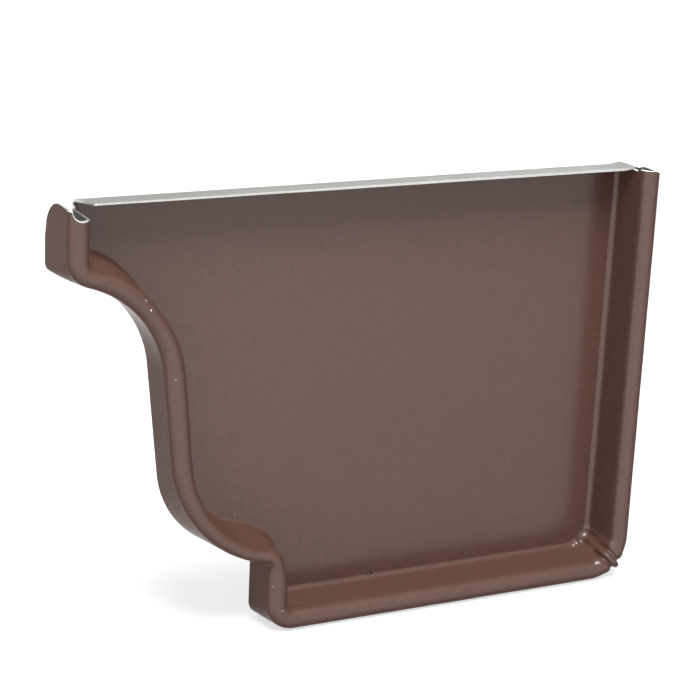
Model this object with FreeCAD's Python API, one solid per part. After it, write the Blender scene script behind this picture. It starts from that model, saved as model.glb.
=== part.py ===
"""Gutter end cap: one sheet of painted metal, pressed and folded to close a K-style gutter."""
import FreeCAD, Part
import math
import os

# Outside of the cap, over its flange, and how far the lip stands out past the bottom.
# The gutter is the common 5 inch size.
width = 127.0
height = 88.9
lip_overhang = 42.5

# Sheet, and the channel that the gutter's end slips into
sheet = 0.5
channel_gap = 3.2
recess_depth = 10.25
flange_depth = 10.6
panel_bend_radius = 1.1

# Corners of the flat panel, measured where it starts to bend
lip_panel_corner = 0.35
front_panel_corner = 0.45
back_panel_corner = 3.6

# Ogee front, from the lip down to the riser
lip_height = 9.4
ledge_angle = 18.0
ledge_length = 0.6
waist_lean = 6.3
lower_ogee_radius = 25.8
apron_angle = 13.8
apron_length = 0.6
riser_top_radius = 1.3
riser_height = 7.9

# Curves that change along the flange, measured outside it at the ear's depth
lip_flange_corner = 0.9
lower_ogee_flange_radius = 17.3
front_flange_corner = 2.3

# Lip: a deeper flange with rounded back corners, and a notch beside the panel
lip_flange_depth = 13.65
lip_upper_radius = 7.6
lip_lower_radius = 3.1
lip_ear_height = 14.2
notch_depth = 1.9

# Top of the back flange: a little lower than the rim, with a rounded corner
flange_drop = 0.6
flange_corner_radius = 5.0

# Fold along the top of the panel, turned towards the front and a little up
fold_depth = 7.0
fold_bend_radius = 0.6
fold_drop = 0.2
fold_rise_angle = 4.5
fold_end_skew = 1.9

# Pleat of gathered sheet across the back bottom corner, tapering to its ends
pleat_height = 0.7
pleat_end = 0.1

# How far a cutting solid reaches past what it cuts
margin = 2.0

# Values that follow from the sizes above
channel_width = channel_gap + 2 * sheet
rim_radius = channel_width / 2
panel_inset = channel_width + panel_bend_radius
lip_x = -width / 2
back_x = width / 2
rim_front = (pleat_height - lip_flange_depth) / 2
rim_y = rim_front + rim_radius
panel_y = rim_front + recess_depth
bend_y = panel_y - panel_bend_radius
flange_y = rim_front + flange_depth
ear_y = rim_front + lip_flange_depth
fold_start = height - fold_drop - fold_bend_radius - sheet

DOWN = -90.0
OUT = FreeCAD.Vector(0, 1, 0)


def direction(heading):
    """Unit vector for a heading in degrees, from +X towards +Z."""
    angle = math.radians(heading)
    return FreeCAD.Vector(math.cos(angle), 0, math.sin(angle))


def inward(heading):
    """Unit vector into the cap, which lies on the left of the outline."""
    return direction(heading + 90)


def arc_centre(point, heading, radius, turn):
    """Centre of an arc that leaves point along heading; a left turn is positive."""
    return point + inward(heading) * math.copysign(radius, turn)


def after(point, heading, size, turn):
    """Where a straight of length size, or an arc of radius size, ends."""
    if turn == 0:
        return point + direction(heading) * size
    centre = arc_centre(point, heading, size, turn)
    return centre + FreeCAD.Rotation(OUT, -turn).multVec(point - centre)


def outline_moves():
    """Outline of the flange's outside from the lip's top, at the rim and at the ear's depth.

    Each move is a size and a turn: a straight's length and 0, or an arc's radius and its degrees.
    """
    lip_corner = (lip_panel_corner + panel_inset, -DOWN - ledge_angle)
    upper_turn = ledge_angle + waist_lean + DOWN
    lower_ogee = (lower_ogee_radius, -DOWN - waist_lean - apron_angle)
    riser_top = (riser_top_radius, apron_angle + DOWN)
    front_corner = (front_panel_corner + panel_inset, -DOWN)
    back_corner = (back_panel_corner + panel_inset, -DOWN)

    # The upper curve and the waist take up what the other stretches leave
    origin = FreeCAD.Vector()
    rest = FreeCAD.Vector(lip_overhang, 0, front_corner[0] - height)
    rest -= after(origin, DOWN, lip_height, 0)
    rest -= after(origin, DOWN, *lip_corner)
    rest -= after(origin, -ledge_angle, ledge_length, 0)
    rest -= after(origin, DOWN + waist_lean, *lower_ogee)
    rest -= after(origin, -apron_angle, apron_length, 0)
    rest -= after(origin, -apron_angle, *riser_top)
    rest -= after(origin, DOWN, riser_height, 0)
    upper = after(origin, -ledge_angle, 1.0, upper_turn)
    waist = direction(DOWN + waist_lean)
    scale = upper.x * waist.z - upper.z * waist.x
    upper_radius = (rest.x * waist.z - rest.z * waist.x) / scale
    waist_length = (upper.x * rest.z - upper.z * rest.x) / scale

    bottom_length = width - lip_overhang - front_corner[0] - back_corner[0]
    near = [
        (lip_height, 0),
        lip_corner,
        (ledge_length, 0),
        (upper_radius, upper_turn),
        (waist_length, 0),
        lower_ogee,
        (apron_length, 0),
        riser_top,
        (riser_height, 0),
        front_corner,
        (bottom_length, 0),
        back_corner,
        (height - back_corner[0], 0),
    ]

    # A changed arc keeps its two tangents, and the straights beside it make up the length
    lip_spread = spread(lip_corner, lip_flange_corner)
    ogee_spread = spread(lower_ogee, lower_ogee_flange_radius)
    front_spread = spread(front_corner, front_flange_corner)
    far = [
        (lip_height + lip_spread, 0),
        (lip_flange_corner, lip_corner[1]),
        (ledge_length + lip_spread, 0),
        near[3],
        (waist_length + ogee_spread, 0),
        (lower_ogee_flange_radius, lower_ogee[1]),
        (apron_length + ogee_spread, 0),
        riser_top,
        (riser_height + front_spread, 0),
        (front_flange_corner, front_corner[1]),
        (bottom_length + front_spread, 0),
        *near[11:],
    ]
    return near, far


def spread(arc, other_radius):
    """How much longer the straights beside an arc get when its radius is changed."""
    radius, turn = arc
    return (radius - other_radius) * math.tan(math.radians(turn / 2))


def stations(moves):
    """Each move along the outline, after the point and heading where it starts."""
    point = FreeCAD.Vector(lip_x, 0, height)
    heading = DOWN
    for size, turn in moves:
        yield point, heading, size, turn
        point = after(point, heading, size, turn)
        heading += turn


def outline_path(moves, inset):
    """Steps along the outline moved inward: a corner, or an arc's middle and end."""
    path = []
    for point, heading, size, turn in stations(moves):
        start = point + inward(heading) * inset
        if not path:
            path.append([start])
        inner = size - math.copysign(inset, turn) if turn else size
        end = after(start, heading, inner, turn)
        path.append([after(start, heading, inner, turn / 2), end] if turn else [end])
    return path


def closed_wire(path):
    """Closed wire through steps of [corner], or [middle, end] for an arc."""
    edges = []
    for start, step in zip(path, path[1:] + path[:1]):
        if len(step) == 2:
            edges.append(Part.Arc(start[-1], *step).toShape())
        else:
            edges.append(Part.LineSegment(start[-1], *step).toShape())
    return Part.Wire(edges)


def face_at(place, path):
    """Flat face inside a closed path, whose points are put in space by place."""
    return Part.Face(closed_wire([[place(*spot) for spot in step] for step in path]))


def bend_middle(centre_in, centre_y, radius, angle):
    """Point on a bend, in the two directions of its plane."""
    turn = math.radians(angle)
    return (centre_in + radius * math.cos(turn), centre_y + radius * math.sin(turn))


def section_at(point, heading, path):
    """Face across the outline at one place, from steps of inset and depth."""
    def place(inset, y):
        return point + inward(heading) * inset + OUT * y

    return face_at(place, path)


def carried(section, point, heading, size, turn):
    """Solid of a section carried along one move of the outline."""
    if turn == 0:
        return section.extrude(direction(heading) * size)
    centre = arc_centre(point, heading, size, turn)
    return section.revolve(centre, OUT * math.copysign(1, -turn), abs(turn))


def rolled_rim(moves):
    """Rolled rim, inner wall and panel bend all round, one solid for each move."""
    bend = (panel_inset, bend_y)
    path = [
        [(0, rim_y)],
        [(rim_radius, rim_front), (channel_width, rim_y)],
        [(channel_width, bend_y)],
        [bend_middle(*bend, panel_bend_radius, 135), (panel_inset, panel_y)],
        [(panel_inset, panel_y + sheet)],
        [bend_middle(*bend, panel_bend_radius + sheet, 135), (channel_width - sheet, bend_y)],
        [(channel_width - sheet, rim_y)],
        [(rim_radius, rim_front + sheet), (sheet, rim_y)],
    ]
    return [carried(section_at(*spot[:2], path), *spot) for spot in stations(moves)]


def flange(near, far):
    """Flange all round, one solid for each move, ruled from the rim to the ear's depth."""
    def strip(spot, y):
        point, heading, size, turn = spot
        inner = point + inward(heading) * sheet
        radius = size - math.copysign(sheet, turn)
        wire = closed_wire([
            [point],
            [after(point, heading, size, turn / 2), after(*spot)],
            [after(inner, heading, radius, turn)],
            [after(inner, heading, radius, turn / 2), inner],
        ])
        wire.translate(OUT * y)
        return wire

    def plate(front, back):
        corners = [front[0] + OUT * rim_y, after(*front) + OUT * rim_y]
        corners += [after(*back) + OUT * ear_y, back[0] + OUT * ear_y]
        return Part.Face(Part.makePolygon(corners + corners[:1])).extrude(inward(front[1]) * sheet)

    solids = []
    for front, back in zip(stations(near), stations(far)):
        if front[3] == 0:
            solids.append(plate(front, back))
        else:
            solids.append(Part.makeLoft([strip(front, rim_y), strip(back, ear_y)], True, True))
    return solids


def panel(moves):
    """Flat recessed panel, up to where its top fold starts."""
    plate = Part.Face(closed_wire(outline_path(moves, panel_inset))).extrude(OUT * sheet)
    plate.translate(OUT * panel_y)
    above = Part.makeBox(width, sheet + 2 * margin, height)
    above.translate(FreeCAD.Vector(lip_x, panel_y - margin, fold_start))
    return plate.cut(above)


def top_fold():
    """Flange folded from the panel's top edge, with its lip end trimmed on a slant."""
    turn = 90 - fold_rise_angle
    rise = math.radians(fold_rise_angle)
    centre_y = panel_y - fold_bend_radius
    inner = fold_bend_radius
    outer = fold_bend_radius + sheet
    reach = (fold_depth - outer) / math.cos(rise)
    left = lip_x + channel_width

    def place(y, z):
        return FreeCAD.Vector(left, y, z)

    def along(radius, length):
        angle = math.radians(turn)
        return (
            centre_y + radius * math.cos(angle) - length * math.cos(rise),
            fold_start + radius * math.sin(angle) + length * math.sin(rise),
        )

    path = [
        [(panel_y, fold_start)],
        [bend_middle(centre_y, fold_start, inner, turn / 2), along(inner, 0)],
        [along(inner, reach)],
        [along(outer, reach)],
        [along(outer, 0)],
        [bend_middle(centre_y, fold_start, outer, turn / 2), (panel_y + sheet, fold_start)],
    ]
    fold = face_at(place, path).extrude(FreeCAD.Vector(width - 2 * channel_width, 0, 0))

    def level(x, y):
        return FreeCAD.Vector(x, y, fold_start)

    front_y = panel_y - fold_depth - margin
    back_y = panel_y + sheet + margin
    slope = fold_end_skew / fold_depth
    trim = [
        [(left - margin, front_y)],
        [(left + slope * (panel_y - front_y), front_y)],
        [(left + slope * (panel_y - back_y), back_y)],
        [(left - margin, back_y)],
    ]
    return fold.cut(face_at(level, trim).extrude(FreeCAD.Vector(0, 0, fold_depth)))


def behind_flange():
    """What is trimmed off behind the flange, all but the ear at the lip."""
    behind = Part.makeBox(width + 2 * margin, lip_flange_depth, height + 2 * margin)
    behind.translate(FreeCAD.Vector(lip_x - margin, flange_y, -margin))

    def place(y, z):
        return FreeCAD.Vector(lip_x - margin, y, z)

    low = height - lip_ear_height
    centre = (ear_y - lip_lower_radius, low + lip_lower_radius)
    path = [
        [(rim_front, low)],
        [(centre[0], low)],
        [bend_middle(*centre, lip_lower_radius, -45), (ear_y, centre[1])],
        [(ear_y, height + margin)],
        [(rim_front, height + margin)],
    ]
    ear = face_at(place, path).extrude(FreeCAD.Vector(margin + panel_inset + ledge_length, 0, 0))
    return behind.cut(ear)


def flange_corner(x, y, z, radius):
    """Cut that rounds a flange's upper back corner at y, z; x is the lower end of the cut."""
    def place(y, z):
        return FreeCAD.Vector(x, y, z)

    path = [
        [(y - radius, z)],
        [bend_middle(y - radius, z - radius, radius, 45), (y, z - radius)],
        [(y + margin, z - radius)],
        [(y + margin, z + margin)],
        [(y - radius, z + margin)],
    ]
    return face_at(place, path).extrude(FreeCAD.Vector(rim_radius + margin, 0, 0))


def back_flange_top():
    """Cut that slopes the back flange's top down across the outer half of the rim."""
    def place(x, z):
        return FreeCAD.Vector(x, rim_front - margin, z)

    left = back_x - rim_radius
    right = back_x + margin
    low = height - flange_drop * (right - left) / rim_radius
    path = [[(left, height)], [(right, low)], [(right, height + margin)], [(left, height + margin)]]
    return face_at(place, path).extrude(OUT * (lip_flange_depth + 2 * margin))


def lip_notch():
    """Cut that lowers the rim and the inner wall beside the panel, with a round corner."""
    floor = height - notch_depth
    left = lip_x + sheet
    right = lip_x + panel_inset
    turn = notch_depth * math.sqrt(0.5)

    def place(x, z):
        return FreeCAD.Vector(x, rim_front - margin, z)

    path = [
        [(left, height + margin)],
        [(left, height)],
        [(left + notch_depth - turn, height - turn), (left + notch_depth, floor)],
        [(right, floor)],
        [(right, height + margin)],
    ]
    front = face_at(place, path).extrude(OUT * (bend_y - rim_front + margin))

    # Beside the panel the cut runs square across the middle of the bend
    def level(x, y):
        return FreeCAD.Vector(x, y, floor)

    reach = panel_bend_radius + sheet + margin
    path = [[(left, bend_y)], [(right, bend_y)], [(right - reach, bend_y + reach)], [(left, bend_y + reach)]]
    back = face_at(level, path).extrude(FreeCAD.Vector(0, 0, notch_depth + margin))
    return [front, back]


def corner_pleat(moves):
    """Gathered sheet that stands proud across the rim at the back bottom corner."""
    point, heading, radius, turn = list(stations(moves))[-2]
    into = inward(heading + turn / 2)
    across = direction(heading + turn / 2)
    outside = after(point, heading, radius, turn / 2) + OUT * rim_y
    wall = outside + into * channel_width

    def bead(centre, out, reach):
        """Section with its ridge at reach, and its feet in the middle of the sheet."""
        middle = centre - out * (sheet / 2)
        foot = across * (reach + sheet / 2)
        return Part.makePolygon([centre + out * reach, middle + foot, middle - foot, centre + out * reach])

    def tail(centre, out, length):
        end = bead(centre + OUT * length, out, pleat_end)
        return Part.makeLoft([bead(centre, out, pleat_height), end], True, True)

    front = Part.Face(bead(outside, into * -1, pleat_height))
    return [
        front.revolve(outside + into * rim_radius, across * -1, 180),
        tail(outside, into * -1, flange_y - rim_y),
        tail(wall, into, bend_y - rim_y),
    ]


def end_cap():
    """The whole sheet as one solid."""
    near, far = outline_moves()
    body = panel(near).multiFuse(rolled_rim(near) + flange(near, far))
    cuts = [
        behind_flange(),
        flange_corner(lip_x - margin, ear_y, height, lip_upper_radius),
        flange_corner(back_x - rim_radius, flange_y, height - flange_drop, flange_corner_radius),
        back_flange_top(),
    ]
    for cut in cuts + lip_notch():
        body = body.cut(cut)
    body = body.multiFuse([top_fold()] + corner_pleat(near))
    return body.removeSplitter()


os.makedirs("parts", exist_ok=True)
cap = end_cap()
print("valid", cap.isValid(), "solids", len(cap.Solids), "volume", round(cap.Volume, 1), cap.BoundBox)
cap.Solids[0].exportStep("parts/end_cap.step")
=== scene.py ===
import bisect
import math

import bpy
import numpy as np
from mathutils import Matrix, Vector, noise
from mathutils.geometry import delaunay_2d_cdt


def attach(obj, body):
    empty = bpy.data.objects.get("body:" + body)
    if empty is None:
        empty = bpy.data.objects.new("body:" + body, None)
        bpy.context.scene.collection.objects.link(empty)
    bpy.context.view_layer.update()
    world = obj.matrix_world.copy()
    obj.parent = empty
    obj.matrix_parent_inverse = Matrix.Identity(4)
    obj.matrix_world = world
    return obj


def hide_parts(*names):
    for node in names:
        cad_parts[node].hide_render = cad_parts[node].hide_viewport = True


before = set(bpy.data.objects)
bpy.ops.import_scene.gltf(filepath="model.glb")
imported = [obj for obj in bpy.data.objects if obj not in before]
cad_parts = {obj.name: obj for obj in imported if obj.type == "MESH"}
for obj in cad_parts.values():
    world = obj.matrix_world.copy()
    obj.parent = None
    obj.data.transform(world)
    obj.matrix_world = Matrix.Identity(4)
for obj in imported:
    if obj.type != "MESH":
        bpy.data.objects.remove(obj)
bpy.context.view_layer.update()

MM = 0.001

# Sizes in mm and degrees, as in the part's source
WIDTH, HEIGHT, BOTTOM_WIDTH = 127.0, 88.9, 84.5
SHEET, CHANNEL_WIDTH, RIM_RADIUS = 0.5, 4.2, 2.1
RIM_Y, BEND_Y, PANEL_Y = -4.375, 2.675, 3.775
FLANGE_Y, EAR_Y = 4.125, 7.175
LIP_X, BACK_X = -WIDTH / 2, WIDTH / 2
LIP_LENGTH, LEDGE_LENGTH, APRON_LENGTH, RISER_HEIGHT = 9.4, 0.6, 0.6, 7.9
LEDGE_ANGLE, WAIST_LEAN, APRON_ANGLE = 18.0, 6.3, 13.8
LIP_RADIUS, LOWER_RADIUS, RISER_RADIUS, FRONT_RADIUS, BACK_RADIUS = 5.65, 25.8, 1.3, 5.75, 8.9
FAR_LIP_RADIUS, FAR_LOWER_RADIUS, FAR_FRONT_RADIUS = 0.9, 17.3, 2.3
FOLD_START, FOLD_DEPTH, FOLD_BEND, FOLD_RISE, FOLD_SKEW = 87.6, 7.0, 0.6, 4.5, 1.9
NOTCH_DEPTH, EAR_UPPER_RADIUS = 1.9, 7.6
FLANGE_DROP, FLANGE_CORNER = 0.6, 5.0

# The ear's lower corner, a little lower and rounder than in the part's source
EAR_LOW, EAR_LOWER_RADIUS = 74.2, 3.6

# What no point passes, within 0.02 mm of the CAD part's box, and the highest the fold may reach
BOX_LOW, BOX_HIGH, FOLD_TOP = (-63.5, -7.17, 0.0), (63.5, 7.16, 89.15), 89.15

# How far past the bend's start the notch reaches, and the depth over which its floor rises from there
NOTCH_REACH, NOTCH_RISE = 0.6, 1.1

# The back wall's top is lower than its rim: the drop, and where it starts and over what it grows,
# first across and then in depth
WALL_DROP, WALL_DROP_INSET, WALL_DROP_WIDTH, WALL_DROP_Y, WALL_DROP_DEPTH = 0.5, 3.0, 0.6, -4.2, 1.2

# Sag of the flange's edge under the lip: its height, and along the outline where it starts, over
# what it grows, where it ends and over what it fades
EAR_SAG, SAG_START, SAG_RISE, SAG_END, SAG_FALL = 0.4, 5.0, 5.0, 27.0, 8.0

# Small waves of the sheet: height, then mm at the outline's ends and grid rows over which they fade
WAVE_HEIGHT, WAVE_END_FADE, WAVE_FLANGE_ROWS, WAVE_PANEL_ROWS = 0.035, 4.0, 5.0, 6.0
REVERSE_RELIEF = 0.6  # share of the relief that shows on the back
DENT_HEIGHT, DENT_EDGE_FADE = 0.05, 9.0

# Pleat at the back corner, with a crease and a bulge on each side: height, place and half width,
# and the depths at which they have faded out on the flange and on the wall
PLEAT_HEIGHT, PLEAT_HALF_WIDTH = 0.69, 0.62
CREASE_DEPTH, CREASE_PLACE, CREASE_HALF_WIDTH = 0.26, 1.05, 0.36
BULGE_HEIGHT, BULGE_PLACE, BULGE_HALF_WIDTH = 0.16, 2.3, 0.7
PLEAT_FLANGE_END, PLEAT_WALL_END = FLANGE_Y + 3.0, 0.2

# Gathers of the wall at that corner: height, the wave's angle over the corner's, the depth where
# they start, and the depth and grid rows over which they grow and fade
GATHER_HEIGHT, GATHER_RATE, GATHER_START, GATHER_RUN, GATHER_ROWS = 0.22, 12.0, -1.0, 3.0, 8.0

# Points spread over the panel: pitch, height of the lowest row, and what keeps them off the edges
PANEL_PITCH, PANEL_LOW, EDGE_CLEAR_SQUARED, FOLD_CLEAR = 1.6, 1.0, 0.8, 0.7

# Strip of the fold: grid steps across, round the bend and along it, and the slanted end's width
FOLD_COLUMNS, FOLD_BEND_STEPS, FOLD_STRIP_STEPS, SKEW_WIDTH = 76, 8, 10, 12.0
# Its bow at the lip's end and how much less that is at the back, its ripple, and its right end's kick
STRIP_BOW, STRIP_SLOPE, STRIP_RIPPLE, RIPPLE_STEPS = 0.16, 0.3, 0.05, 9
KICK_HEIGHT, KICK_X, KICK_WIDTH, KICK_STEPS = 0.45, 57.0, 2.0, 5

PAINT, REVERSE, CUT = 0, 1, 2


# Outline

def heading_vector(heading):
    """Unit vector for a heading in degrees, from +X towards +Z."""
    angle = math.radians(heading)
    return np.array([math.cos(angle), math.sin(angle)])


def moved(point, heading, size, turn, part=1.0):
    """Point and heading after part of a straight (turn 0) or an arc of radius size."""
    if turn == 0:
        return point + heading_vector(heading) * size * part, heading
    centre = point + heading_vector(heading + 90) * math.copysign(size, turn)
    angle = math.radians(turn * part)
    offset = point - centre
    spun = np.array([
        offset[0] * math.cos(angle) - offset[1] * math.sin(angle),
        offset[0] * math.sin(angle) + offset[1] * math.cos(angle),
    ])
    return centre + spun, heading + turn * part


def outline_moves():
    """The outline as straights and arcs, at the rim and at the ear's depth."""
    lip_corner = LIP_RADIUS, 90 - LEDGE_ANGLE
    lower = LOWER_RADIUS, 90 - WAIST_LEAN - APRON_ANGLE
    riser_top = RISER_RADIUS, APRON_ANGLE - 90
    front, back = (FRONT_RADIUS, 90), (BACK_RADIUS, 90)
    upper_turn = LEDGE_ANGLE + WAIST_LEAN - 90

    def step(heading, size, turn):
        return moved(np.zeros(2), heading, size, turn)[0]

    # The upper radius and the waist's length follow from what the other moves leave
    rest = np.array([WIDTH - BOTTOM_WIDTH, FRONT_RADIUS - HEIGHT])
    rest = rest - step(-90, LIP_LENGTH, 0) - step(-90, *lip_corner) - step(-LEDGE_ANGLE, LEDGE_LENGTH, 0)
    rest = rest - step(WAIST_LEAN - 90, *lower) - step(-APRON_ANGLE, APRON_LENGTH, 0)
    rest = rest - step(-APRON_ANGLE, *riser_top) - step(-90, RISER_HEIGHT, 0)
    both = np.column_stack([step(-LEDGE_ANGLE, 1.0, upper_turn), step(WAIST_LEAN - 90, 1.0, 0)])
    upper_radius, waist = np.linalg.solve(both, rest)

    def spread(arc, radius):
        return (arc[0] - radius) * math.tan(math.radians(arc[1] / 2))

    lip_more = spread(lip_corner, FAR_LIP_RADIUS)
    lower_more = spread(lower, FAR_LOWER_RADIUS)
    front_more = spread(front, FAR_FRONT_RADIUS)
    bottom = BOTTOM_WIDTH - FRONT_RADIUS - BACK_RADIUS
    near = [(LIP_LENGTH, 0), lip_corner, (LEDGE_LENGTH, 0), (upper_radius, upper_turn), (waist, 0), lower,
            (APRON_LENGTH, 0), riser_top, (RISER_HEIGHT, 0), front, (bottom, 0), back,
            (HEIGHT - BACK_RADIUS, 0)]
    far = [(LIP_LENGTH + lip_more, 0), (FAR_LIP_RADIUS, lip_corner[1]), (LEDGE_LENGTH + lip_more, 0), near[3],
           (waist + lower_more, 0), (FAR_LOWER_RADIUS, lower[1]), (APRON_LENGTH + lower_more, 0), riser_top,
           (RISER_HEIGHT + front_more, 0), (FAR_FRONT_RADIUS, 90), (bottom + front_more, 0), back, near[12]]
    return near, far


# Grid steps along each move: lip, corner, ledge, upper curve, waist, lower curve, apron,
# riser's top, riser, front corner, bottom, back corner, back
STEPS = [14, 26, 3, 34, 20, 44, 3, 30, 10, 30, 62, 84, 66]
LIP, WAIST, BACK_CORNER, BACK = 0, 4, 11, 12
LIP_EDGE_PART = 0.03  # an extra grid row just below the lip's top edge
BACK_TOP_PART = 0.985  # from here up the back follows its top edge


def stations():
    """Along the outline: near point, far point, heading, move's number and part of the move."""
    near, far = outline_moves()
    spots = []
    point, other, heading = np.array([LIP_X, HEIGHT]), np.array([LIP_X, HEIGHT]), -90.0
    for number, (near_move, far_move, steps) in enumerate(zip(near, far, STEPS)):
        parts = np.linspace(0, 1, steps + 1)
        if number == LIP:
            parts = np.insert(parts, 1, LIP_EDGE_PART)
        if number == BACK:
            # One row of the grid lies where the panel's fold starts
            fold_part = (FOLD_START - BACK_RADIUS) / (HEIGHT - BACK_RADIUS)
            parts = np.append(np.linspace(0, fold_part, steps - 1), [0.5 + 0.5 * fold_part, 1.0])
        for part in parts if number == BACK else parts[:-1]:
            near_point, turned = moved(point, heading, *near_move, part)
            far_point, _ = moved(other, heading, *far_move, part)
            spots.append((near_point, far_point, turned, number, part))
        point, next_heading = moved(point, heading, *near_move)
        other, _ = moved(other, heading, *far_move)
        heading = next_heading
    return spots


def outline_lengths(spots):
    """Length along the near outline at each station."""
    return np.cumsum([0.0] + [np.linalg.norm(b[0] - a[0]) for a, b in zip(spots, spots[1:])])


# Sheet

def ease(value):
    """Smooth rise from 0 to 1."""
    value = np.clip(value, 0.0, 1.0)
    return value * value * (3 - 2 * value)


def between(stops, length):
    """Smooth value at a length along the outline, from stops of length and value."""
    if length >= stops[-1][0]:
        return stops[-1][1]
    k = bisect.bisect([at for at, _ in stops], length) - 1
    (start, first), (end, last) = stops[k], stops[k + 1]
    return first + (last - first) * float(ease((length - start) / (end - start)))


# Length along the outline and value there: the rim's width, the panel's inset and its bend's depth
RIM_WIDTHS = [(0, 4.2), (11, 4.2), (15, 3.7), (18, 3.6), (22, 4.0), (30, 3.8), (37, 4.1), (44, 4.3),
              (60, 4.1), (68, 3.9), (76, 3.5), (84, 3.1), (91, 2.9), (94, 3.3), (97, 4.1), (100, 4.2)]
PANEL_INSETS = [(0, 5.3), (16.2, 5.4), (18, 6.3), (21.5, 6.2), (25, 5.6), (29, 4.9), (34, 4.9), (40, 5.3),
                (68, 5.2), (76, 4.8), (82, 4.8), (86, 5.2), (90, 5.6), (93, 5.2), (95, 5.6), (100, 5.3),
                (178, 5.3), (185, 6.0), (191, 6.0), (197, 5.5), (250, 5.45), (275, 5.3)]
BEND_DEPTHS = [(0, 1.1), (14, 1.1), (18, 0.8), (23, 0.8), (30, 0.9), (40, 1.1), (68, 1.1), (78, 0.8),
               (91, 0.8), (95, 1.0), (100, 1.1), (178, 1.1), (185, 1.8), (191, 1.8), (197, 1.3),
               (250, 1.25), (275, 1.1)]


def lip_top(inset, y):
    """Height of the lip's top edge: rounded ear at the back, notch beside the panel."""
    top = HEIGHT
    if y > EAR_Y - EAR_UPPER_RADIUS:
        run = y - EAR_Y + EAR_UPPER_RADIUS
        top -= EAR_UPPER_RADIUS - math.sqrt(max(EAR_UPPER_RADIUS ** 2 - run ** 2, 0.0))
    into = inset - SHEET
    if into > 0 and y < BEND_Y + NOTCH_REACH:
        across = min(into, NOTCH_DEPTH) - NOTCH_DEPTH
        top = min(top, HEIGHT - math.sqrt(NOTCH_DEPTH ** 2 - across ** 2))
    if inset > CHANNEL_WIDTH - SHEET and y > BEND_Y:
        rise = float(ease((y - BEND_Y) / NOTCH_RISE))
        top = HEIGHT - NOTCH_DEPTH + (FOLD_START - HEIGHT + NOTCH_DEPTH) * rise
    return top


def back_top(inset, y):
    """Height of the back flange's top edge: sloping out over the rim, round at the back."""
    top = HEIGHT - FLANGE_DROP * max(RIM_RADIUS - inset, 0.0) / RIM_RADIUS
    if inset > WALL_DROP_INSET:
        inward = ease((inset - WALL_DROP_INSET) / WALL_DROP_WIDTH)
        top -= WALL_DROP * float(inward * ease((y - WALL_DROP_Y) / WALL_DROP_DEPTH))
    if inset < RIM_RADIUS and y > FLANGE_Y - FLANGE_CORNER:
        run = y - FLANGE_Y + FLANGE_CORNER
        top -= FLANGE_CORNER - math.sqrt(max(FLANGE_CORNER ** 2 - run ** 2, 0.0))
    return top


def flange_back(z):
    """Depth of the flange's back edge; the ear at the lip reaches further."""
    if z >= EAR_LOW + EAR_LOWER_RADIUS:
        return EAR_Y
    drop = EAR_LOW + EAR_LOWER_RADIUS - z
    reach = math.sqrt(max(EAR_LOWER_RADIUS ** 2 - drop ** 2, 0.0))
    return max(FLANGE_Y, EAR_Y - EAR_LOWER_RADIUS + reach if z > EAR_LOW else FLANGE_Y)


FLANGE_STEPS, RIM_STEPS, WALL_STEPS, BEND_STEPS = 14, 36, 14, 12
WALL_ROW = FLANGE_STEPS + RIM_STEPS
ROWS = WALL_ROW + WALL_STEPS + BEND_STEPS + 1


def section(back_y, under, length):
    """Inset and depth of each row from the flange's back edge to the panel; under is the sheet."""
    width, panel, depth = (
        between(stops, length) for stops in (RIM_WIDTHS, PANEL_INSETS, BEND_DEPTHS))
    rows = []
    for i in range(FLANGE_STEPS):
        rows.append((under, back_y + (RIM_Y - back_y) * i / FLANGE_STEPS))
    for i in range(RIM_STEPS):
        angle = math.pi * i / RIM_STEPS
        inset = width / 2 - (width / 2 - under) * math.cos(angle)
        rows.append((inset, RIM_Y - (RIM_RADIUS - under) * math.sin(angle)))
    start = PANEL_Y - depth
    slant = panel - depth - width
    for i in range(WALL_STEPS):
        inset = width - under + slant * i / WALL_STEPS
        rows.append((inset, RIM_Y + (start - RIM_Y) * i / WALL_STEPS))
    for i in range(BEND_STEPS + 1):
        angle = math.pi - 0.5 * math.pi * i / BEND_STEPS
        rows.append((panel + (depth + under) * math.cos(angle), start + (depth + under) * math.sin(angle)))
    return rows


def ring_grid(spots, under):
    """Points of the ring of flange, rim, wall and bend, as stations by rows."""
    grid = np.zeros((len(spots), ROWS, 3))
    lengths = outline_lengths(spots)
    for s, (near, far, heading, number, part) in enumerate(spots):
        inward = heading_vector(heading + 90)
        back_y = EAR_Y if number == LIP else flange_back(far[1]) if number < WAIST else FLANGE_Y
        # Under the lip the flange keeps its sharp corner for longer, and its edge hangs lower
        full = float(ease((lengths[s] - SAG_START) / SAG_RISE) * ease((SAG_END - lengths[s]) / SAG_FALL))
        for r, (inset, y) in enumerate(section(back_y, under, lengths[s])):
            along = (y - RIM_Y) / (EAR_Y - RIM_Y) if r < FLANGE_STEPS else 0.0
            along += along * (1 - along) * full
            x, z = near + (far - near) * along + inward * inset
            z -= EAR_SAG * along * full
            if number == LIP:
                top = lip_top(inset, y)
                end = HEIGHT - (HEIGHT - z) / part if part else top
                z = top + (end - top) * part
            if number == BACK and part > BACK_TOP_PART:
                z = BACK_RADIUS + (back_top(inset, y) - BACK_RADIUS) * part
            grid[s, r] = x, y, z
    return grid


def grid_normals(grid):
    """Normals of the painted side of a grid."""
    normals = np.cross(np.gradient(grid, axis=0), np.gradient(grid, axis=1))
    return normals / np.maximum(np.linalg.norm(normals, axis=2, keepdims=True), 1e-9)


def wave(length, row):
    """Slow swell of the sheet, with a quicker one on it."""
    slow = noise.noise(Vector((length * 0.11, row * 0.05, 3.7)))
    quick = noise.noise(Vector((length * 0.31, row * 0.09, 9.1)))
    return slow + 0.5 * quick


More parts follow.
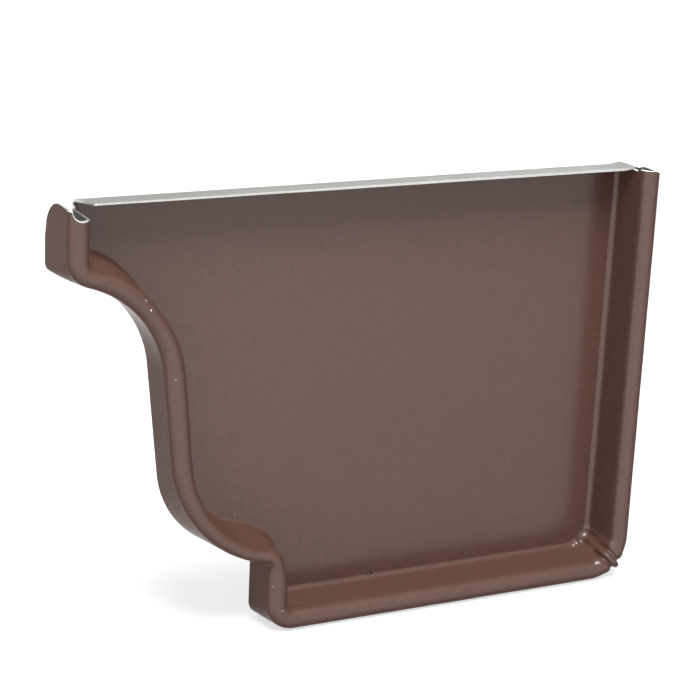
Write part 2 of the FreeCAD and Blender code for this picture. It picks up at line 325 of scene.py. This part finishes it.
def pleat(aside, y, row):
    """Height of the pinched pleat, at a distance aside from the corner's middle."""
    if row < FLANGE_STEPS:
        weight = float(ease((PLEAT_FLANGE_END - y) / (PLEAT_FLANGE_END - RIM_Y)))
    elif row < WALL_ROW:
        weight = 1.0
    else:
        weight = float(ease((PLEAT_WALL_END - y) / (PLEAT_WALL_END - RIM_Y)))
    ridge = math.exp(-(aside / PLEAT_HALF_WIDTH) ** 4)
    crease = math.exp(-((abs(aside) - CREASE_PLACE) / CREASE_HALF_WIDTH) ** 2)
    bulge = math.exp(-((abs(aside) - BULGE_PLACE) / BULGE_HALF_WIDTH) ** 2)
    return weight * (PLEAT_HEIGHT * ridge - CREASE_DEPTH * crease + BULGE_HEIGHT * bulge)


def gather(turned, part, y, row):
    """Height of the wall's gathers round the back corner, none at its two ends."""
    waves = math.sin(turned * GATHER_RATE) * math.sin(math.pi * part)
    deep = float(ease((y - GATHER_START) / GATHER_RUN)) * float(ease((ROWS - 1 - row) / GATHER_ROWS))
    return GATHER_HEIGHT * waves * deep


def ring_relief(spots):
    """How far the painted side stands out: small waves, and the pleat at the back corner."""
    relief = np.zeros((len(spots), ROWS))
    lengths = outline_lengths(spots)
    profile = section(FLANGE_Y, 0.0, lengths[-1])
    for s, (_, _, _, number, part) in enumerate(spots):
        calm = float(ease(lengths[s] / WAVE_END_FADE) * ease((lengths[-1] - lengths[s]) / WAVE_END_FADE))
        turned = math.radians((part - 0.5) * 90)
        for r, (inset, y) in enumerate(profile):
            hold = float(ease((ROWS - 1 - r) / WAVE_PANEL_ROWS) * ease(r / WAVE_FLANGE_ROWS))
            relief[s, r] = WAVE_HEIGHT * wave(lengths[s], r) * calm * hold
            if number == BACK_CORNER:
                relief[s, r] += pleat(turned * (BACK_RADIUS - inset), y, r)
                if r >= WALL_ROW:
                    relief[s, r] += gather(turned, part, y, r)
    return relief


class Builder:
    """Vertices, faces and the material of each face."""

    def __init__(self):
        self.points, self.faces, self.finish = [], [], []

    def add(self, point):
        self.points.append(tuple(min(max(float(v), a), b) for v, a, b in zip(point, BOX_LOW, BOX_HIGH)))
        return len(self.points) - 1

    def grid(self, table, flip, finish):
        rows, columns = len(table), len(table[0])
        for i in range(rows - 1):
            for j in range(columns - 1):
                face = (table[i][j], table[i + 1][j], table[i + 1][j + 1], table[i][j + 1])
                self.face(face[::-1] if flip else face, finish)

    def face(self, face, finish):
        self.faces.append(face)
        self.finish.append(finish)


def panel_dent(x, z, edge):
    """Slight unevenness of the flat panel, none at its edges."""
    swell = noise.noise(Vector((x * 0.021, z * 0.024, 1.3)))
    ripple = 0.35 * noise.noise(Vector((x * 0.07, z * 0.06, 5.9)))
    return DENT_HEIGHT * (swell + ripple) * float(ease(edge / DENT_EDGE_FADE))


def fold_line(radius, part, length):
    """Depth and height on the fold: round the bend for part up to 1, then along the strip."""
    angle = math.radians((90 - FOLD_RISE) * min(part, 1.0))
    rise = math.radians(FOLD_RISE)
    y = PANEL_Y - FOLD_BEND + radius * math.cos(angle) - length * math.cos(rise)
    z = FOLD_START + radius * math.sin(angle) + length * math.sin(rise)
    return y, z


def fold_lift(x, step, steps):
    """How far the strip rises as it bows: a little uneven, and its right end kicks up."""
    bow = step / steps * (STRIP_BOW - STRIP_SLOPE * (x - LIP_X) / WIDTH)
    uneven = noise.noise(Vector((x * 0.06, 2.2, 7.0)))
    ripple = STRIP_RIPPLE * min(step, RIPPLE_STEPS) / RIPPLE_STEPS * uneven
    kick = KICK_HEIGHT * float(ease((x - KICK_X) / KICK_WIDTH)) * min(step, KICK_STEPS) / KICK_STEPS
    return bow + ripple + kick * (1 - 0.5 * step / steps)


def fold_side(made, radius, top, columns, runs):
    """Numbers of the points on one side of the fold; the first row is the panel's top edge."""
    table = []
    for k, (part, length) in enumerate(runs):
        y, z = fold_line(radius, part, length)
        row = []
        for c, x in enumerate(columns):
            if k == 0 and 0 < c < len(columns) - 1:
                row.append(top[c - 1])
                continue
            # The left end is cut on a slant
            slant = FOLD_SKEW / FOLD_DEPTH * (PANEL_Y - y) * max(0.0, 1 - (x - columns[0]) / SKEW_WIDTH)
            row.append(made.add((x + slant, y, min(z + fold_lift(x, k, len(runs)), FOLD_TOP))))
        table.append(row)
    return table


def add_fold(made, top_x, top_fronts, top_backs):
    """Strip folded over along the panel's top edge."""
    columns = [LIP_X + CHANNEL_WIDTH] + top_x + [BACK_X - CHANNEL_WIDTH]
    reach = (FOLD_DEPTH - FOLD_BEND - SHEET) / math.cos(math.radians(FOLD_RISE))
    runs = [(i / FOLD_BEND_STEPS, 0.0) for i in range(FOLD_BEND_STEPS + 1)]
    runs += [(1.0, reach * i / FOLD_STRIP_STEPS) for i in range(1, FOLD_STRIP_STEPS + 1)]
    under = fold_side(made, FOLD_BEND, top_fronts, columns, runs)
    over = fold_side(made, FOLD_BEND + SHEET, top_backs, columns, runs)
    made.grid(under, True, PAINT)
    made.grid(over, False, REVERSE)
    for c in range(len(columns) - 1):
        made.face((under[-1][c], under[-1][c + 1], over[-1][c + 1], over[-1][c]), CUT)
    for k in range(len(runs) - 1):
        made.face((under[k][0], under[k + 1][0], over[k + 1][0], over[k][0]), CUT)
        made.face((under[k][-1], over[k][-1], over[k + 1][-1], under[k + 1][-1]), CUT)


def inside(loop, spot):
    """Whether a point lies inside a closed loop of points."""
    found = False
    for (x0, z0), (x1, z1) in zip(loop, loop[1:] + loop[:1]):
        if (z0 > spot[1]) != (z1 > spot[1]) and spot[0] < x0 + (x1 - x0) * (spot[1] - z0) / (z1 - z0):
            found = not found
    return found


def square_gap(points, spot):
    """Square of the distance from a spot to the nearest of the points."""
    return float(np.min(np.sum((points - np.array(spot)) ** 2, axis=1)))


def panel_points(loop):
    """Even spread of points inside a loop, clear of its own points and of the fold."""
    ends = np.array(loop)
    spread = []
    for i in range(int(WIDTH / PANEL_PITCH)):
        for j in range(int(HEIGHT / PANEL_PITCH)):
            spot = np.array([LIP_X + PANEL_PITCH * (i + 0.5 * (j % 2)), PANEL_LOW + PANEL_PITCH * j])
            clear = square_gap(ends, spot) > EDGE_CLEAR_SQUARED
            if spot[1] < FOLD_START - FOLD_CLEAR and inside(loop, spot) and clear:
                spread.append(tuple(spot))
    return spread


def add_panel(made, outer, front, behind):
    """Flat panel inside the ring: x of its top edge's points, and their numbers on both sides."""
    edge = [s for s in range(len(outer)) if outer[s, -1, 2] <= FOLD_START + 1e-6]
    border = [(outer[s, -1, 0], outer[s, -1, 2]) for s in edge]
    left, right = border[0][0], border[-1][0]
    top_x = [left + (right - left) * i / FOLD_COLUMNS for i in range(FOLD_COLUMNS + 1)]
    loop = border + [(x, FOLD_START) for x in top_x[-2:0:-1]]
    ends = np.array(loop)
    flat = [Vector(p) for p in loop + panel_points(loop)]
    ring = [tuple(range(len(loop)))]
    spots, _, triangles, origin, _, _ = delaunay_2d_cdt(flat, [], ring, 1, 1e-6)
    fronts, backs = [], []
    for spot, source in zip(spots, origin):
        k = source[0]
        if k < len(border):
            fronts.append(front[edge[k]][-1])
            backs.append(behind[edge[k]][-1])
            continue
        near_edge = math.sqrt(square_gap(ends, spot))
        dent = panel_dent(spot[0], spot[1], near_edge) if k >= len(loop) else 0.0
        fronts.append(made.add((spot[0], PANEL_Y + dent, spot[1])))
        backs.append(made.add((spot[0], PANEL_Y + SHEET + dent, spot[1])))
    for a, b, c in triangles:
        made.face((fronts[a], fronts[b], fronts[c]), PAINT)
        made.face((backs[c], backs[b], backs[a]), REVERSE)

    place = {source[0]: k for k, source in enumerate(origin)}
    top = [0] + [len(loop) - 1 - i for i in range(FOLD_COLUMNS - 1)] + [len(border) - 1]
    return top_x, [fronts[place[k]] for k in top], [backs[place[k]] for k in top]


def add_ring(made):
    """Flange, rim, wall and bend with their cut edges: the painted points, and numbers on both sides."""
    spots = stations()
    outer, inner = ring_grid(spots, 0.0), ring_grid(spots, SHEET)
    relief = ring_relief(spots)[:, :, None]
    normals = grid_normals(outer)
    outer = outer + normals * relief
    inner = inner + normals * (relief * REVERSE_RELIEF)
    front = [[made.add(p) for p in row] for row in outer]
    behind = [[made.add(p) for p in row] for row in inner]
    made.grid(front, False, PAINT)
    made.grid(behind, True, REVERSE)

    # The shears left the rim's top bare along the notch
    for r in range(FLANGE_STEPS, WALL_ROW):
        made.finish[r] = CUT
    for s in range(len(spots) - 1):
        made.face((front[s][0], behind[s][0], behind[s + 1][0], front[s + 1][0]), CUT)
    for r in range(ROWS - 1):
        made.face((front[0][r], front[0][r + 1], behind[0][r + 1], behind[0][r]), CUT)
        made.face((front[-1][r], behind[-1][r], behind[-1][r + 1], front[-1][r + 1]), CUT)
    return outer, front, behind


def build_cap():
    """The whole sheet as one closed mesh."""
    made = Builder()
    outer, front, behind = add_ring(made)
    top_x, top_fronts, top_backs = add_panel(made, outer, front, behind)
    add_fold(made, top_x, top_fronts, top_backs)
    return made


# Materials

def node(tree, kind, **values):
    """New shader node with its inputs and settings."""
    made = tree.nodes.new(kind)
    for name, value in values.items():
        if name in made.inputs:
            made.inputs[name].default_value = value
        else:
            setattr(made, name, value)
    return made


def new_material(name):
    material = bpy.data.materials.new(name)
    material.use_nodes = True
    tree = material.node_tree
    return material, tree, tree.nodes["Principled BSDF"]


def noise_field(tree, place, scale, detail, rough=0.5):
    field = node(tree, "ShaderNodeTexNoise", Scale=scale, Detail=detail, Roughness=rough)
    tree.links.new(place.outputs["Object"], field.inputs["Vector"])
    return field


def ramp(tree, source, stops):
    made = tree.nodes.new("ShaderNodeValToRGB")
    while len(made.color_ramp.elements) < len(stops):
        made.color_ramp.elements.new(0.5)
    for element, (position, colour) in zip(made.color_ramp.elements, stops):
        element.position = position
        element.color = (*colour, 1.0) if isinstance(colour, tuple) else (colour, colour, colour, 1.0)
    tree.links.new(source, made.inputs["Fac"])
    return made


def bump(tree, shader, fields):
    """Chain of bumps, from the coarsest to the finest."""
    last = None
    for field, strength, distance in fields:
        made = node(tree, "ShaderNodeBump", Strength=strength, Distance=distance)
        tree.links.new(field.outputs["Fac"], made.inputs["Height"])
        if last:
            tree.links.new(last.outputs["Normal"], made.inputs["Normal"])
        last = made
    tree.links.new(last.outputs["Normal"], shader.inputs["Normal"])


# Pale specks in the paint, partly nicks and dust and partly painted highlights standing in for glints on
# small dents, and dark specks in the paint: place and radius in mm
PALE_SPECKS_AND_GLINTS = [(-48.75, -6.15, 71.35, 0.11), (-48.5, -6.18, 71.15, 0.14), (-48.25, -6.2, 71.0, 0.14),
         (-48.0, -6.2, 70.8, 0.12), (-47.7, -6.43, 69.5, 0.14), (-47.72, -6.43, 69.3, 0.14),
         (-42.5, -6.4, 55.4, 0.11), (-24.8, 3.8, 22.3, 0.08), (-20.5, -5.8, 10.1, 0.09),
         (-18.4, -6.4, 4.9, 0.12)]
GRIME = [(6.5, 3.75, 5.2, 0.25), (5.6, 3.75, 5.2, 0.15)]


def specks(tree, place, colour, spots, tone):
    """Colour with small round spots of another tone."""
    found = None
    for x, y, z, radius in spots:
        gap = node(tree, "ShaderNodeVectorMath", operation="DISTANCE")
        tree.links.new(place.outputs["Object"], gap.inputs[0])
        gap.inputs[1].default_value = (x * MM, y * MM, z * MM)
        near = node(tree, "ShaderNodeMath", operation="LESS_THAN")
        tree.links.new(gap.outputs["Value"], near.inputs[0])
        near.inputs[1].default_value = radius * MM
        both = node(tree, "ShaderNodeMath", operation="MAXIMUM")
        tree.links.new(near.outputs[0], both.inputs[0])
        if found:
            tree.links.new(found.outputs[0], both.inputs[1])
        else:
            both.inputs[1].default_value = 0.0
        found = both
    mix = node(tree, "ShaderNodeMix", data_type="RGBA")
    tree.links.new(found.outputs[0], mix.inputs["Factor"])
    tree.links.new(colour, mix.inputs["A"])
    mix.inputs["B"].default_value = tone
    return mix.outputs["Result"]


def enamel_material():
    """Baked brown enamel: even, satin, with a faint orange peel; its gloss falls off at a slant."""
    material, tree, shader = new_material("brown_enamel")
    place = tree.nodes.new("ShaderNodeTexCoord")
    cloud = noise_field(tree, place, 45.0, 4.0)
    grain = noise_field(tree, place, 900.0, 2.0)
    tone = ramp(tree, cloud.outputs["Fac"], [
        (0.25, (0.109, 0.0562, 0.0435)), (0.55, (0.111, 0.0572, 0.0443)), (0.80, (0.113, 0.0582, 0.0451))])
    mix = node(tree, "ShaderNodeMix", data_type="RGBA", blend_type="MULTIPLY")
    mix.inputs["Factor"].default_value = 1.0
    fine = ramp(tree, grain.outputs["Fac"], [(0.3, 0.93), (0.7, 1.05)])
    tree.links.new(tone.outputs["Color"], mix.inputs["A"])
    tree.links.new(fine.outputs["Color"], mix.inputs["B"])
    # Pale specks: nicks and dust, plus painted highlights for the glints of small dents on the rim
    colour = specks(tree, place, mix.outputs["Result"], PALE_SPECKS_AND_GLINTS, (0.80, 0.78, 0.74, 1.0))
    colour = specks(tree, place, colour, GRIME, (0.012, 0.009, 0.008, 1.0))
    tree.links.new(colour, shader.inputs["Base Color"])
    gloss = ramp(tree, noise_field(tree, place, 70.0, 3.0).outputs["Fac"], [(0.3, 0.20), (0.7, 0.23)])
    tree.links.new(gloss.outputs["Color"], shader.inputs["Roughness"])
    facing = node(tree, "ShaderNodeLayerWeight", Blend=0.5)
    shine = ramp(tree, facing.outputs["Facing"], [(0.12, 0.43), (0.42, 0.02)])
    tree.links.new(shine.outputs["Color"], shader.inputs["Specular IOR Level"])
    peel = noise_field(tree, place, 1100.0, 1.0)
    sag = noise_field(tree, place, 160.0, 2.0)
    bump(tree, shader, [(sag, 0.003, 0.0004), (peel, 0.03, 0.00008)])
    return material


def reverse_material():
    """Light grey back coat, thin and a little streaky."""
    material, tree, shader = new_material("grey_back_coat")
    place = tree.nodes.new("ShaderNodeTexCoord")
    stretch = node(tree, "ShaderNodeMapping")
    stretch.inputs["Scale"].default_value = (30.0, 260.0, 260.0)
    tree.links.new(place.outputs["Object"], stretch.inputs["Vector"])
    streak = node(tree, "ShaderNodeTexNoise", Scale=1.0, Detail=4.0)
    tree.links.new(stretch.outputs["Vector"], streak.inputs["Vector"])
    tone = ramp(tree, streak.outputs["Fac"], [(0.3, (0.262, 0.262, 0.250)), (0.7, (0.302, 0.302, 0.288))])
    tree.links.new(tone.outputs["Color"], shader.inputs["Base Color"])
    gloss = ramp(tree, noise_field(tree, place, 120.0, 2.0).outputs["Fac"], [(0.3, 0.42), (0.7, 0.55)])
    tree.links.new(gloss.outputs["Color"], shader.inputs["Roughness"])
    shader.inputs["Specular IOR Level"].default_value = 0.005
    bump(tree, shader, [(noise_field(tree, place, 700.0, 2.0), 0.06, 0.0001)])
    return material


def cut_material():
    """Bare sheared edge of the metal, bright, with fine shear marks."""
    material, tree, shader = new_material("bare_cut_edge")
    place = tree.nodes.new("ShaderNodeTexCoord")
    marks = noise_field(tree, place, 2600.0, 2.0)
    tone = ramp(tree, marks.outputs["Fac"], [(0.3, (0.50, 0.50, 0.48)), (0.7, (0.72, 0.72, 0.70))])
    tree.links.new(tone.outputs["Color"], shader.inputs["Base Color"])
    shader.inputs["Metallic"].default_value = 0.9
    gloss = ramp(tree, marks.outputs["Fac"], [(0.3, 0.30), (0.7, 0.45)])
    tree.links.new(gloss.outputs["Color"], shader.inputs["Roughness"])
    bump(tree, shader, [(marks, 0.15, 0.00005)])
    return material


# The cap

def make_cap():
    made = build_cap()
    mesh = bpy.data.meshes.new("cap_sheet")
    mesh.from_pydata([tuple(v * MM for v in p) for p in made.points], [], made.faces)
    for material in (enamel_material(), reverse_material(), cut_material()):
        mesh.materials.append(material)
    mesh.polygons.foreach_set("material_index", made.finish)
    mesh.polygons.foreach_set("use_smooth", [True] * len(mesh.polygons))
    mesh.update()

    # Sharp where the finish changes: along every cut edge
    finishes = {}
    for face, finish in zip(made.faces, made.finish):
        for a, b in zip(face, face[1:] + face[:1]):
            finishes.setdefault((min(a, b), max(a, b)), set()).add(finish)
    sharp = [len(finishes[tuple(sorted(e.vertices))]) > 1 for e in mesh.edges]
    mesh.attributes.new("sharp_edge", "BOOLEAN", "EDGE").data.foreach_set("value", sharp)
    cap = bpy.data.objects.new("cap_sheet", mesh)
    bpy.context.scene.collection.objects.link(cap)
    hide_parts("end_cap")
    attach(cap, "root")


# Stage

FLOOR_GAP = 0.0002  # the floor lies this far below the cap, in metres
FLOOR_NEAR_FAR, FLOOR_GLOW = (0.5, 1.6), (0.64, 1.0)  # the glow at those two distances
AMBIENT = 0.27
AIM = (0, 0, 0.04)  # the lamps point here


def direct_rays(tree):
    """1 for rays from the camera, reflections and transmission, 0 for those that only light."""
    path = tree.nodes.new("ShaderNodeLightPath")
    seen = node(tree, "ShaderNodeMath", operation="MAXIMUM")
    tree.links.new(path.outputs["Is Camera Ray"], seen.inputs[0])
    tree.links.new(path.outputs["Is Glossy Ray"], seen.inputs[1])
    every = node(tree, "ShaderNodeMath", operation="MAXIMUM")
    tree.links.new(seen.outputs[0], every.inputs[0])
    tree.links.new(path.outputs["Is Transmission Ray"], every.inputs[1])
    return every


def make_world():
    world = bpy.data.worlds.new("studio")
    bpy.context.scene.world = world
    world.use_nodes = True
    tree = world.node_tree
    tree.nodes.clear()
    every = direct_rays(tree)
    ambient = node(tree, "ShaderNodeBackground", Color=(1, 1, 1, 1), Strength=AMBIENT)
    white = node(tree, "ShaderNodeBackground", Color=(1, 1, 1, 1), Strength=1.0)
    mix = tree.nodes.new("ShaderNodeMixShader")
    out = tree.nodes.new("ShaderNodeOutputWorld")
    tree.links.new(every.outputs[0], mix.inputs["Fac"])
    tree.links.new(ambient.outputs[0], mix.inputs[1])
    tree.links.new(white.outputs[0], mix.inputs[2])
    tree.links.new(mix.outputs[0], out.inputs["Surface"])


def make_floor():
    mesh = bpy.data.meshes.new("floor")
    reach = 4.0
    corners = [(-reach, -reach, 0), (reach, -reach, 0), (reach, reach, 0), (-reach, reach, 0)]
    mesh.from_pydata(corners, [], [(0, 1, 2, 3)])
    floor = bpy.data.objects.new("floor", mesh)
    floor.location.z = -FLOOR_GAP
    bpy.context.scene.collection.objects.link(floor)
    material, tree, shader = new_material("pale_floor")
    shader.inputs["Base Color"].default_value = (0.6, 0.6, 0.6, 1)
    shader.inputs["Roughness"].default_value = 0.9
    shader.inputs["Specular IOR Level"].default_value = 0.0
    every = direct_rays(tree)
    # Far off, where the lamps no longer reach, the floor is as white as the backdrop
    place = tree.nodes.new("ShaderNodeNewGeometry")
    away = node(tree, "ShaderNodeVectorMath", operation="LENGTH")
    tree.links.new(place.outputs["Position"], away.inputs[0])
    rise = tree.nodes.new("ShaderNodeMapRange")
    for name, value in zip(("From Min", "From Max", "To Min", "To Max"), FLOOR_NEAR_FAR + FLOOR_GLOW):
        rise.inputs[name].default_value = value
    tree.links.new(away.outputs["Value"], rise.inputs["Value"])
    glow = node(tree, "ShaderNodeMath", operation="MULTIPLY")
    tree.links.new(every.outputs[0], glow.inputs[0])
    tree.links.new(rise.outputs["Result"], glow.inputs[1])
    shader.inputs["Emission Color"].default_value = (1, 1, 1, 1)
    tree.links.new(glow.outputs[0], shader.inputs["Emission Strength"])
    mesh.materials.append(material)


def make_light(name, place, side, power):
    """Square lamp aimed at the cap."""
    lamp = bpy.data.lights.new(name, "AREA")
    lamp.shape = "RECTANGLE"
    lamp.size, lamp.size_y = side, side
    lamp.energy = power
    lit = bpy.data.objects.new(name, lamp)
    lit.location = place
    lit.rotation_euler = (Vector(AIM) - Vector(place)).to_track_quat("-Z", "Y").to_euler()
    bpy.context.scene.collection.objects.link(lit)


def make_camera():
    """Camera at the photograph's viewing angle: where it stands and its three directions."""
    place = Vector((-0.19712, -0.37022, 0.18484))
    right = Vector((0.8913, -0.4510, 0.0473))
    down = Vector((-0.0934, -0.2845, -0.9541))
    forward = Vector((0.4437, 0.8460, -0.2956))
    data = bpy.data.cameras.new("camera")
    data.sensor_width = 36.0
    data.lens = 114.64
    camera = bpy.data.objects.new("camera", data)
    turn = Matrix((right, -down, -forward)).transposed().to_quaternion().normalized()
    camera.matrix_world = Matrix.Translation(place) @ turn.to_matrix().to_4x4()
    bpy.context.scene.collection.objects.link(camera)
    bpy.context.scene.camera = camera


make_camera()
make_cap()
make_world()
make_floor()
make_light("top_softbox", (-0.10, -0.43, 0.96), 0.5, 13.5)
make_light("front_fill", (-0.6, -1.0, 0.30), 0.7, 1.5)
make_light("left_fill", (-1.0, -0.30, 0.16), 0.5, 1.8)
make_light("back_fill", (0.9, 1.0, 0.25), 0.7, 7.0)
bpy.context.scene.view_settings.view_transform = "Standard"
